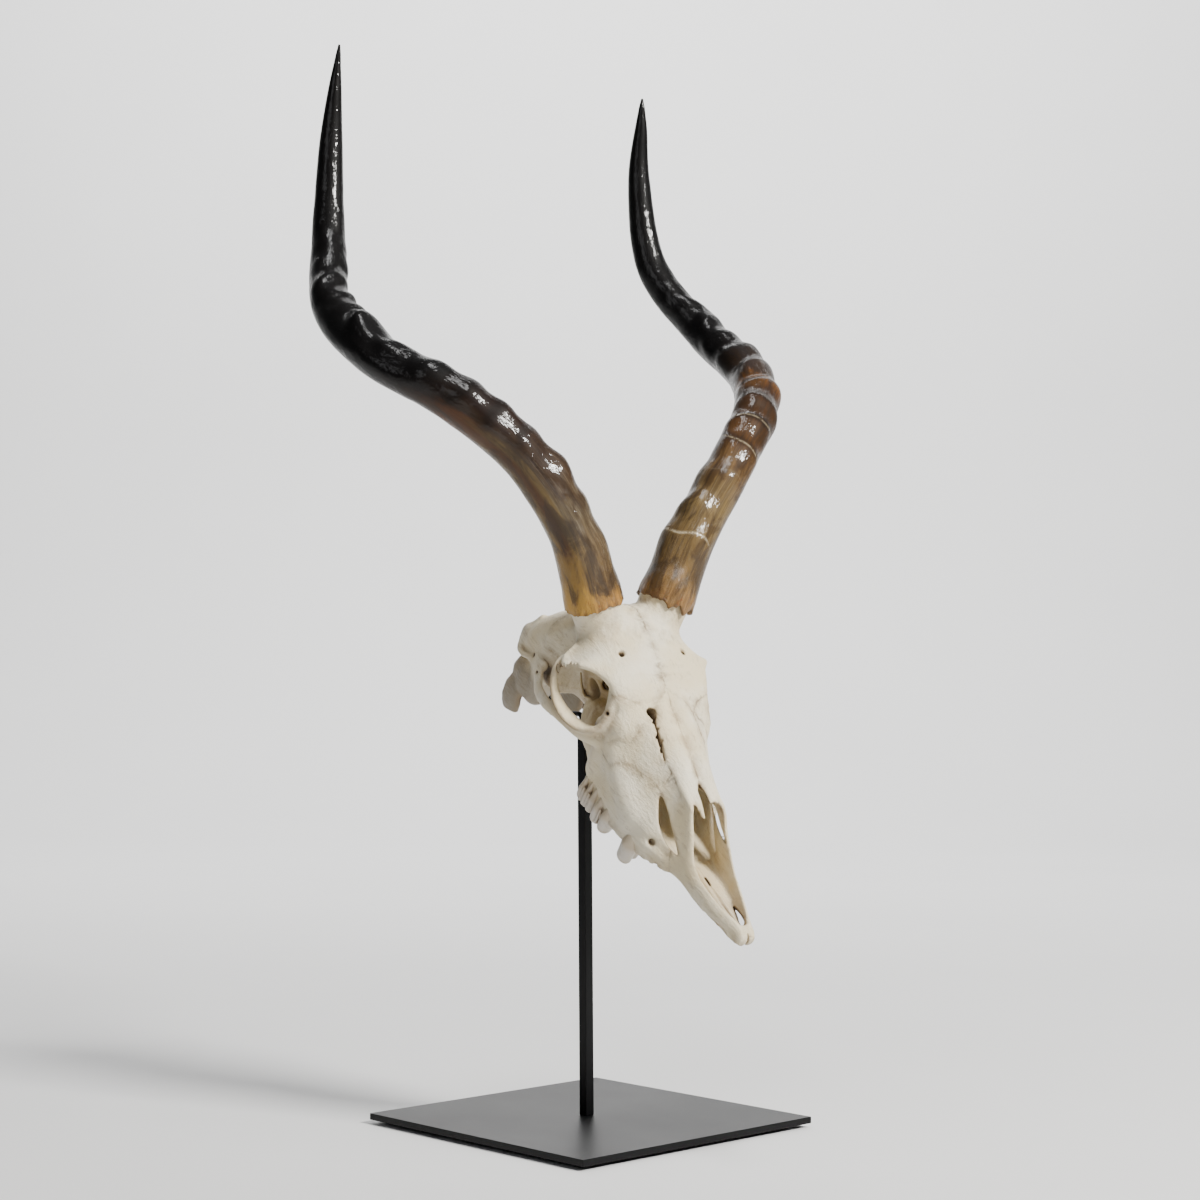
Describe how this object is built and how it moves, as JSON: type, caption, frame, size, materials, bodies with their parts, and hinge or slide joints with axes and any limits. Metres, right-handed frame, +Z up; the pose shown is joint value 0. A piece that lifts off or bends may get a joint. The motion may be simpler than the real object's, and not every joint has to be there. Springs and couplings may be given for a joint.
{
  "type": "mounted impala skull with horns",
  "caption": "Antelope skull with lyre-shaped ringed horns, held nose-down on a slim square post above a flat square base plate.",
  "frame": {"origin": "centre of the felt pad's underside, on the surface that the stand rests on", "axes": "+Z up, X and Y along the base plate's edges, the skull faces -Y with its right side towards -X"},
  "size_m": [0.3105, 0.2778, 0.6638],
  "materials": {
    "bone": "dry cleaned bone, satin, cream with darker sutures",
    "horn": "lacquered keratin, amber brown at the base to black at the tips",
    "enamel": "worn tooth enamel, satin",
    "black_steel": "satin black powder coat",
    "felt": "black felt"
  },
  "bodies": {
    "root": {"skull": "bone", "horn_right": "horn", "horn_left": "horn", "molar_3_right": "enamel", "molar_2_right": "enamel", "premolar_4_right": "enamel", "molar_3_left": "enamel", "molar_2_left": "enamel", "premolar_4_left": "enamel", "support_rod": "black_steel", "post": "black_steel", "base_plate": "black_steel", "felt_pad": "felt"}
  },
  "joints": []
}
